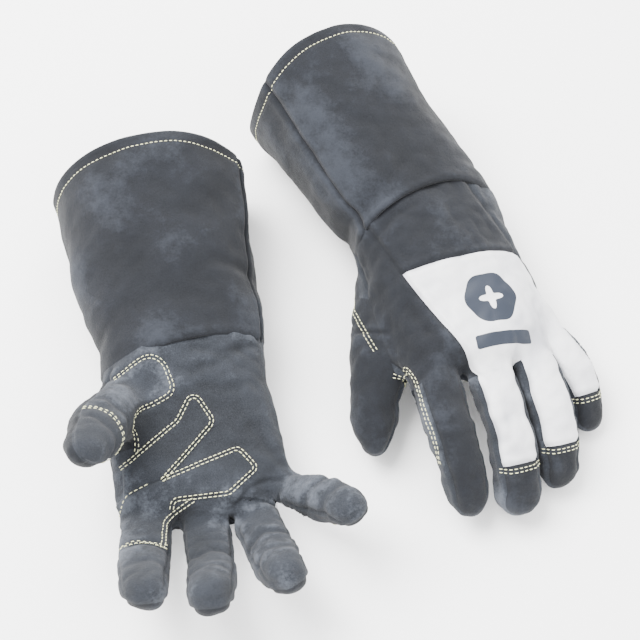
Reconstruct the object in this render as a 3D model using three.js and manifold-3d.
// A pair of long-cuff leather welding gloves, stuffed to the shape of a relaxed hand and laid on
// a flat surface: the right-hand glove palm up, the left-hand glove palm down.
// Millimetres, +Z up, fingers towards -Y, origin under the middle of the pair's bounding box.
//
// Each glove is made in its own hand frame: origin at the wrist crease, +Y to the fingertips,
// +Z out of the back of the hand, -X to the thumb. Every panel is a flat block of leather
// wrapped round the hand's, a digit's or the cuff's own form.
import * as THREE from "three";
import { mergeVertices } from "three/addons/utils/BufferGeometryUtils.js";
import Module from "manifold-3d";

const wasm = await Module();
wasm.setup();

// ---------- driving dimensions ----------
const leather = 1.8; // thickness of every leather panel
const liner = 1.3; // cotton duck that lines the cuff
const fleece = 2.6; // fleece that lines the back of the hand
const seamGap = 0.5; // between two panels that are sewn edge to edge
const layerGap = 0.45; // between two layers that lie on each other
const liningGap = 1.3; // between a leather shell and the lining inside it

const hand = {
  wrist: { halfWidth: 47, halfDepth: 30 },
  knuckle: { halfWidth: 50, halfDepth: 19, shift: 6.5 }, // shift: the knuckles lean to the little finger
  reach: 100, // wrist crease to the root of the middle finger
  squareness: 2.3, // exponent of the rounded section of hand and cuff
  archDrop: 6, // how far the sides of the knuckles droop towards the palm
  kneeGap: 9, // room between the hand's front edge and a finger's root
  tuck: 5, // how far the hand runs up inside the cuff
};

const cuff = {
  length: 127, // wrist crease to the middle of the hem
  hemCurve: 13, // the hem is cut this much longer in the middle of a panel than at its sides
  wristClear: 4.2, // the cuff's lower end stands clear of the hand inside it
  liningStart: 0.16, // the lining stops short of the hand, cuff's lower end 0 to hem 1
};

// A finger's root is given by its gap to its neighbour and how far it is ahead of the hand's
// reach, the thumb's in the hand frame. Half sizes are those of the stuffed stall.
const fingers = {
  index: { gap: 4, ahead: -7, length: 86, halfWidth: 13.8, halfDepth: 12.2 },
  middle: { ahead: 0, length: 85, halfWidth: 14.2, halfDepth: 12.6 },
  ring: { gap: 1.4, ahead: -3, length: 79, halfWidth: 13.4, halfDepth: 12.2 },
  little: { gap: -1.6, ahead: -21, length: 64, halfWidth: 12.2, halfDepth: 11.4 },
};
fingers.middle.across = 4;
fingers.index.across =
  fingers.middle.across - fingers.middle.halfWidth - fingers.index.gap - fingers.index.halfWidth;
fingers.ring.across =
  fingers.middle.across + fingers.middle.halfWidth + fingers.ring.gap + fingers.ring.halfWidth;
fingers.little.across =
  fingers.ring.across + fingers.ring.halfWidth + fingers.little.gap + fingers.little.halfWidth;
const thumb = {
  root: [-32, 26, -16],
  length: 95,
  halfWidth: 15.5,
  halfDepth: 14,
  range: [-10, 15], // degrees that the thumb swings, which the palm leaves room for
};
const stall = {
  start: 4, // from the digit's root to the edge of its stall
  neck: 0.62, // size of the stall at its start, as a share of its full size
  neckLength: 14, // the stall is full size from here on
  tip: 15, // length of the rounded end
  joints: [0.45, 0.72], // where a digit bends, as shares of its length
  bend: 0.13, // half length of each bend, as a share of the digit
  gusset: 0.42, // half height of the side strip, as a share of the half depth
  gussetStart: 9,
  cap: 0.66, // where the fingertip cap starts, as a share of the digit
};

// How each glove lies: turn about Z, nose-down pitch and roll of the hand, place of the wrist
// crease, the cuff's set against the hand and how far it is pushed down over the wrist, the
// cuff's mouth, and each digit's splay and bends in degrees.
const lay = {
  right: {
    palmUp: true, turn: 7, pitch: 9, roll: 0, place: [-80, -43, 32.3],
    cuffTurn: 5, cuffRise: -4.5, cuffPush: 0, mouth: { halfWidth: 59, halfDepth: 42 },
    index: { splay: -3, bends: [42, 14, 8] },
    middle: { splay: 1, bends: [42, 14, 8] },
    ring: { splay: 15, bends: [42, 12, 8] },
    little: { splay: 42, bends: [38, 12, 8] },
    thumb: { splay: -31, palmward: 50, roll: -35, bends: [8, 6] },
  },
  left: {
    palmUp: false, turn: 17, pitch: -2, roll: 10, place: [63, 40, 40.5],
    cuffTurn: 16, cuffRise: 3.3, cuffPush: 4, mouth: { halfWidth: 50, halfDepth: 50 },
    index: { splay: 3, bends: [11, 17, 10] },
    middle: { splay: 1, bends: [12, 18, 11] },
    ring: { splay: 1, bends: [12, 18, 11] },
    little: { splay: 5.5, bends: [10, 17, 12] },
    thumb: { splay: -28, palmward: 8, roll: -30, bends: [8, 6] },
  },
};

// Sector edges of the panels in degrees round a section: 0 little-finger side, 90 back, 180 thumb
// side, 270 palm.
const sector = {
  littleSeam: 8, // where the palm leather meets the back of the hand
  thumbSeam: 184,
  cuffLittleSeam: -18,
  cuffThumbSeam: 152,
};
const whiteStart = 0.37; // where the grain-leather back panel starts, wrist 0 to knuckles 1

// ---------- finishes ----------
const finish = (color, roughness) =>
  new THREE.MeshStandardMaterial({ color, roughness, metalness: 0 });
const suedeDark = finish(0x4b4f58, 0.95);
const suedeLight = finish(0x6b7078, 0.95);
const grainLeather = finish(0xdcdcdd, 0.6);
const cottonDuck = finish(0x8d8a80, 0.9);
const fleeceCloth = finish(0xb9b4a6, 0.95);

// ---------- small helpers ----------
const { lerp, clamp, smoothstep, degToRad: rad } = THREE.MathUtils;
const power = (x, p) => Math.sign(x) * Math.abs(x) ** p;
const vector = (...xyz) => new THREE.Vector3(...xyz);

// Moves every vertex of a geometry by place(x, y, z), then turns its faces out if that mirrored it.
function reshape(geometry, place) {
  const bare = geometry.index ? geometry.toNonIndexed() : geometry;
  for (const name of ["normal", "uv"]) bare.deleteAttribute(name);
  const at = bare.getAttribute("position");
  const p = vector();
  let volume = 0;
  for (let i = 0; i < at.count; i++) {
    p.fromBufferAttribute(at, i);
    at.setXYZ(i, ...place(p.x, p.y, p.z).toArray());
  }
  const [a, b, c] = [vector(), vector(), vector()];
  for (let i = 0; i < at.count; i += 3) {
    a.fromBufferAttribute(at, i);
    b.fromBufferAttribute(at, i + 1);
    c.fromBufferAttribute(at, i + 2);
    volume += a.dot(b.cross(c));
  }
  const merged = mergeVertices(bare, 1e-3);
  if (volume < 0) merged.setIndex([...merged.index.array].reverse());
  return merged;
}

// Lets leather lie on the floor: in the world no point comes nearer to z = 0 than its own inset.
function settle(parent) {
  parent.updateWorldMatrix(true, false);
  const inverse = parent.matrixWorld.clone().invert();
  return (point, inset) => {
    point.applyMatrix4(parent.matrixWorld);
    point.z = Math.max(point.z, inset);
    return point.applyMatrix4(inverse);
  };
}

// A flat block wrapped on a form. form(across, along, inset) gives a point of the form, and the
// block covers across and along from 0 to 1, from inset top down to inset bottom. parent is the
// group that the panel goes into.
function wrap(parent, form, top, bottom, cells) {
  const block = new THREE.BoxGeometry(1, 1, 1, cells[0], cells[1], 1);
  const rest = settle(parent);
  return reshape(block, (x, y, z) => {
    const inset = lerp(bottom, top, z + 0.5);
    return rest(form(x + 0.5, y + 0.5, inset), inset);
  });
}

function solidOf(geometry) {
  return new wasm.Manifold(new wasm.Mesh({
    numProp: 3,
    vertProperties: new Float32Array(geometry.getAttribute("position").array),
    triVerts: new Uint32Array(geometry.index.array),
  }));
}

function geometryOf(solid) {
  const mesh = solid.getMesh();
  return new THREE.BufferGeometry()
    .setAttribute("position", new THREE.BufferAttribute(new Float32Array(mesh.vertProperties), 3))
    .setIndex(new THREE.BufferAttribute(new Uint32Array(mesh.triVerts), 1));
}

// Cuts tools out of a geometry and keeps the largest piece that is left.
function cutAway(geometry, tools) {
  const left = tools.reduce((solid, tool) => solid.subtract(tool), solidOf(geometry));
  const pieces = left.decompose().sort((a, b) => b.volume() - a.volume());
  return geometryOf(pieces[0]);
}

// ---------- the hand ----------
// The front edge of the hand, across = -1 at the thumb side to 1 at the little finger.
const frontEdge = (across) => hand.reach - 20 * across ** 2 - 11 * across ** 3;
const archDrop = (across, along) => hand.archDrop * across ** 2 * clamp(along, 0, 1);

// A point of the hand's form at an angle round it, at a share of the way from the wrist to the
// front edge, and this far inside the outer surface.
function handPoint(angle, along, inset) {
  const across = power(Math.cos(rad(angle)), 2 / hand.squareness);
  const height = power(Math.sin(rad(angle)), 2 / hand.squareness);
  const t = smoothstep(along, 0, 1);
  const halfWidth = lerp(hand.wrist.halfWidth, hand.knuckle.halfWidth, t) - inset;
  const halfDepth = lerp(hand.wrist.halfDepth, hand.knuckle.halfDepth, clamp(along, 0, 1)) - inset;
  return vector(
    halfWidth * across + hand.knuckle.shift * t,
    along * frontEdge(across),
    halfDepth * height - archDrop(across, along),
  );
}

const handBack = (across) => -hand.tuck / frontEdge(across);
const handFront = (across) => 1 - hand.kneeGap / frontEdge(across);

// The edge between the dark thumb-side panel and the rest of the back, as an angle round the hand.
const sidePanelEdge = (along) => lerp(152, 118, smoothstep(along, 0, 1));

// A panel of the hand between two angles and two shares of its length. Either may be a function.
function handPanel(parent, from, to, start, end, top, bottom, cells) {
  const value = (edge, x) => (typeof edge === "function" ? edge(x) : edge);
  const form = (x, y, inset) => {
    const middle = power(Math.cos(rad(lerp(value(from, 0.5), value(to, 0.5), x))), 0.83);
    const along = lerp(value(start, middle), value(end, middle), y);
    return handPoint(lerp(value(from, along), value(to, along), x), along, inset);
  };
  return wrap(parent, form, top, bottom, cells);
}

// ---------- digits ----------
// Half a turn of smoothstep at each bend gives the digit's heading; its line is summed from that.
function digitLine(length, bends) {
  const steps = 48;
  const reach = stall.bend * length;
  const heading = (s) => stall.joints.reduce((sum, joint, i) => {
    const middle = joint * length;
    return sum + rad(bends[i]) * smoothstep(s, middle - reach, middle + reach);
  }, 0);
  const line = [{ y: 0, z: 0, turn: heading(0) }];
  for (let i = 1; i <= steps; i++) {
    const turn = heading((i * length) / steps);
    const step = length / steps;
    const last = line[i - 1];
    line.push({ y: last.y + step * Math.cos(turn), z: last.z - step * Math.sin(turn), turn });
  }
  return (s) => {
    const at = clamp((s / length) * steps, 0, steps - 1e-6);
    const [a, b, t] = [line[Math.floor(at)], line[Math.floor(at) + 1], at % 1];
    return { y: lerp(a.y, b.y, t), z: lerp(a.z, b.z, t), turn: lerp(a.turn, b.turn, t) };
  };
}

// The outline of a digit seen from its back: full width, a neck at the root, a rounded end.
function stallScale(digit, s) {
  const neck = lerp(stall.neck, 1, smoothstep(s, stall.start, stall.neckLength));
  const end = clamp((s - (digit.length - stall.tip)) / stall.tip, 0, 1);
  return neck * (1 - end ** 2.6) ** (1 / 2.6);
}

// A point beside a digit's line: sideways by x and out of its back by z.
function digitPoint(line, s, x, z) {
  const at = line(s);
  return vector(x, at.y + z * Math.sin(at.turn), at.z + z * Math.cos(at.turn));
}

// One leather shell of a digit, on its back (side 1) or its palm side (side -1), domed over the
// digit's mid-plane from height rim, and running from one distance along the digit to another.
function digitShell(parent, digit, line, side, rim, from, to, top, cells) {
  const form = (x, y, inset) => {
    const s = lerp(from, to, y ** 0.85);
    const across = -Math.cos(Math.PI * x);
    const size = stallScale(digit, Math.min(s, digit.length - 0.5));
    const edge = rim * digit.halfDepth;
    const dome = Math.sqrt(1 - across ** 2) * size;
    const inner = inset / Math.max(size, 0.45);
    return digitPoint(line, s - (s > digit.length / 2 ? inset : 0),
      (digit.halfWidth * size - inset) * across,
      side * (edge + Math.max(digit.halfDepth - edge - inner, 0.4) * dome));
  };
  return wrap(parent, form, top, top + leather, cells);
}

// The strip that runs up one side of a finger, round its end and down the other side.
function digitGusset(parent, digit, line, from, cells) {
  const half = stall.gusset * digit.halfDepth - 2 * seamGap;
  const flank = digit.length - stall.tip - from;
  const form = (x, y, inset) => {
    const side = y < 0.5 ? -1 : 1;
    const down = 1 - Math.abs(2 * y - 1); // 0 at the root on either side, 1 at the middle of the end
    const turn = clamp((down - 0.62) / 0.38, 0, 1) * (Math.PI / 2);
    const s = from + (Math.min(down, 0.62) / 0.62) * flank + (stall.tip - inset) * Math.sin(turn);
    const size = down < 0.62 ? stallScale(digit, s) : Math.cos(turn) ** (2 / 2.6);
    return digitPoint(line, s, side * (digit.halfWidth * size - inset * Math.min(size * 4, 1)),
      lerp(-half, half, x));
  };
  return wrap(parent, form, 0, leather, cells);
}

// ---------- the cuff ----------
// Runs along -Y from the wrist. along = 0 at its lower end, 1 at the hem.
function cuffPoint(pose, angle, along, inset) {
  const { mouth, cuffPush } = pose;
  const across = power(Math.cos(rad(angle)), 2 / hand.squareness);
  const height = power(Math.sin(rad(angle)), 2 / hand.squareness);
  const wrist = {
    halfWidth: hand.wrist.halfWidth + cuff.wristClear,
    halfDepth: hand.wrist.halfDepth + cuff.wristClear,
  };
  const flare = along ** 0.9;
  const length = cuff.length - cuffPush - cuff.hemCurve * across ** 2;
  return vector(
    (lerp(wrist.halfWidth, mouth.halfWidth, flare) - inset) * across,
    -2 - (length - 2) * along,
    (lerp(wrist.halfDepth, mouth.halfDepth, flare) - inset) * height,
  );
}

function cuffPanel(parent, pose, from, to) {
  const form = (x, y, inset) => cuffPoint(pose, lerp(from, to, x), y, inset);
  return wrap(parent, form, 0, leather, [12, 5]);
}

// A closed tube inside the cuff, made from a turned ring.
function cuffLining(parent, pose) {
  const top = leather + liningGap;
  const inner = 0.8;
  const profile = [[1, 0], [1, 1], [inner, 1], [inner, 0], [1, 0]].map(([r, y]) => new THREE.Vector2(r, y));
  const rest = settle(parent);
  return reshape(new THREE.LatheGeometry(profile, 28), (x, y, z) => {
    const inset = lerp(top, top + liner, (1 - Math.hypot(x, z)) / (1 - inner));
    const angle = THREE.MathUtils.radToDeg(Math.atan2(z, x));
    return rest(cuffPoint(pose, angle, lerp(cuff.liningStart, 0.985, y), inset), inset);
  });
}

// ---------- palm patches ----------
// Each is a four-cornered flag of suede on the palm, given by its corners in the hand frame.
const patches = {
  thumb_patch: [[-38, 60], [-38, 77], [15, 48], [5, 33]],
  index_patch: [[-32, 78], [-32, 84], [22, 85], [33, 62]],
};

function patchPoint(corners, x, y, lift) {
  const [a, b, c, d] = corners;
  const px = lerp(lerp(a[0], b[0], x), lerp(d[0], c[0], x), y);
  const py = lerp(lerp(a[1], b[1], x), lerp(d[1], c[1], x), y);
  return palmAt(px, py, lift);
}

// The point of the palm's surface over (x, y), lifted off it by a height. How far across the hand
// it is depends on how far along, and the other way round, so the two are settled in three steps.
function palmAt(x, y, lift) {
  let [across, along] = [0, y / hand.reach];
  for (let step = 0; step < 3; step++) {
    const t = smoothstep(along, 0, 1);
    const halfWidth = lerp(hand.wrist.halfWidth, hand.knuckle.halfWidth, t);
    across = clamp((x - hand.knuckle.shift * t) / halfWidth, -0.97, 0.97);
    along = y / frontEdge(across);
  }
  const halfDepth = lerp(hand.wrist.halfDepth, hand.knuckle.halfDepth, along);
  const depth = halfDepth * (1 - Math.abs(across) ** hand.squareness) ** (1 / hand.squareness);
  return vector(x, y, -depth - archDrop(across, along) - lift);
}

// ---------- one glove ----------
function makeGlove(side) {
  const pose = lay[side];
  const glove = new THREE.Group();
  glove.name = side;
  const mesh = (parent, name, geometry, material) => {
    const made = new THREE.Mesh(geometry, material);
    made.name = `${side}_${name}`;
    parent.add(made);
    return made;
  };
  // Laid down palm up by half a turn about X, or palm down as the mirror image of the other hand.
  glove.rotation.set(rad(pose.pitch) + (pose.palmUp ? Math.PI : 0), rad(pose.roll), rad(pose.turn), "ZXY");
  if (!pose.palmUp) glove.scale.set(1, -1, 1);
  glove.position.set(...pose.place);
  const joint = (name, x, y, z) => {
    const group = new THREE.Group();
    group.name = `${side}_${name}_joint`;
    group.position.set(x, y, z);
    glove.add(group);
    return group;
  };

  // Thumb first, because the palm leaves room for it at every angle that it swings to.
  const ball = joint("thumb", ...thumb.root);
  ball.rotation.set(-rad(pose.thumb.palmward), rad(pose.thumb.roll), -rad(pose.thumb.splay), "ZXY");
  const thumbLine = digitLine(thumb.length, pose.thumb.bends);
  const shell = (line, s, rim, from, to, top, cells) =>
    digitShell(ball, thumb, line, s, rim, from, to, top, cells);
  const thumbTop = thumb.length - 1.5;
  mesh(ball, "thumb_back", shell(thumbLine, 1, 0.02, stall.start, thumbTop, 0, [6, 6]), suedeDark);
  mesh(ball, "thumb_front", shell(thumbLine, -1, 0.02, stall.start, thumbTop, 0, [6, 6]), suedeLight);
  const patchTop = -leather - layerGap;
  mesh(ball, "thumb_tip_patch",
    shell(thumbLine, -1, 0.1, thumb.length * 0.56, thumbTop, patchTop, [6, 4]), suedeLight);

  const swing = [];
  ball.updateMatrix();
  for (const angle of [thumb.range[0], 0, thumb.range[1]]) {
    const turned = new THREE.Matrix4().makeRotationX(-rad(angle)).premultiply(ball.matrix);
    const grown = { ...thumb, halfWidth: thumb.halfWidth + 4, halfDepth: thumb.halfDepth + 4,
      length: thumb.length + 4 };
    for (const s of [1, -1]) {
      const form = (x, y, z) => {
        const at = lerp(-6, grown.length, y);
        const size = Math.max(stallScale(grown, Math.max(at, stall.neckLength)), 0.3);
        const across = -Math.cos(Math.PI * x);
        return digitPoint(thumbLine, at, grown.halfWidth * size * across,
          s * (grown.halfDepth * size * Math.sqrt(1 - across ** 2) * z - 0.5 * (1 - z)));
      };
      const half = reshape(new THREE.BoxGeometry(1, 1, 1, 6, 6, 1),
        (x, y, z) => form(x + 0.5, y + 0.5, z + 0.5).applyMatrix4(turned));
      swing.push(solidOf(half));
    }
  }

  // Hand panels.
  const { littleSeam, thumbSeam } = sector;
  const gap = 0.35; // half a seam gap as an angle, in degrees
  const middleBack = sidePanelEdge;
  const palm = handPanel(glove, thumbSeam + gap, 360 + littleSeam - gap, handBack, handFront, 0, leather, [12, 7]);
  mesh(glove, "palm_panel", cutAway(palm, swing), suedeLight);
  const sidePanel = handPanel(glove, (v) => middleBack(v) + gap, thumbSeam - gap, handBack, handFront,
    0, leather, [4, 7]);
  mesh(glove, "thumb_side_panel", cutAway(sidePanel, swing), suedeDark);
  mesh(glove, "wrist_back_panel",
    handPanel(glove, littleSeam + gap, (v) => middleBack(v) - gap, handBack, whiteStart - 0.003, 0,
      leather, [9, 3]), suedeDark);
  mesh(glove, "back_panel",
    handPanel(glove, littleSeam + gap, (v) => middleBack(v) - gap, whiteStart + 0.003, handFront, 0,
      leather, [9, 5]), grainLeather);
  const under = leather + liningGap;
  mesh(glove, "back_lining",
    handPanel(glove, littleSeam + 14, 160, 0.02, (q) => handFront(q) - 0.02, under, under + fleece,
      [9, 6]),
    fleeceCloth);
  for (const [name, corners] of Object.entries(patches)) {
    const form = (x, y, inset) => patchPoint(corners, x, y, 2 * layerGap - inset);
    mesh(glove, name, cutAway(wrap(glove, form, -leather * 0.6, 0, [6, 6]), swing), suedeLight);
  }

  // Fingers.
  for (const [name, finger] of Object.entries(fingers)) {
    const across = (finger.across - hand.knuckle.shift) / hand.knuckle.halfWidth;
    const place = [finger.across, hand.reach + finger.ahead, -archDrop(across, 1)];
    const group = joint(name, ...place);
    const { splay, bends } = pose[name];
    group.rotation.set(-rad(bends[0]), 0, -rad(splay), "ZXY");
    const line = digitLine(finger.length, bends.slice(1));
    const end = finger.length - 1.5;
    const capStart = finger.length * stall.cap;
    const capped = name !== "index";
    const rim = stall.gusset;
    const backEnd = capped ? capStart - seamGap : end;
    const backSkin = capped ? grainLeather : suedeDark;
    mesh(group, `${name}_gusset`, digitGusset(group, finger, line, stall.gussetStart, [1, 14]), suedeDark);
    mesh(group, `${name}_palm`,
      digitShell(group, finger, line, -1, rim, stall.start, end, 0, [5, 7]), suedeLight);
    mesh(group, `${name}_back`,
      digitShell(group, finger, line, 1, rim, stall.start, backEnd, 0, [5, capped ? 5 : 7]), backSkin);
    if (capped)
      mesh(group, `${name}_cap`,
        digitShell(group, finger, line, 1, rim, capStart, end, 0, [5, 4]), suedeDark);
  }

  // Cuff, hinged at the wrist crease.
  const sleeve = joint("cuff", 0, 0, 0);
  const rise = pose.palmUp ? 1 : -1;
  sleeve.rotation.set(rise * rad(pose.cuffRise), 0, rad(pose.cuffTurn) * -1, "ZXY");
  const { cuffLittleSeam, cuffThumbSeam } = sector;
  mesh(sleeve, "cuff_back",
    cuffPanel(sleeve, pose, cuffLittleSeam + gap, cuffThumbSeam - gap), suedeDark);
  mesh(sleeve, "cuff_palm",
    cuffPanel(sleeve, pose, cuffThumbSeam + gap, 360 + cuffLittleSeam - gap), suedeDark);
  mesh(sleeve, "cuff_lining", cuffLining(sleeve, pose), cottonDuck);
  return glove;
}

// The pair is moved sideways to bring the middle of its box over the origin.
const pair = new THREE.Group();
pair.add(makeGlove("right"), makeGlove("left"));
const middle = new THREE.Box3().setFromObject(pair, true).getCenter(vector());
pair.position.set(-middle.x, -middle.y, 0);

export default pair;
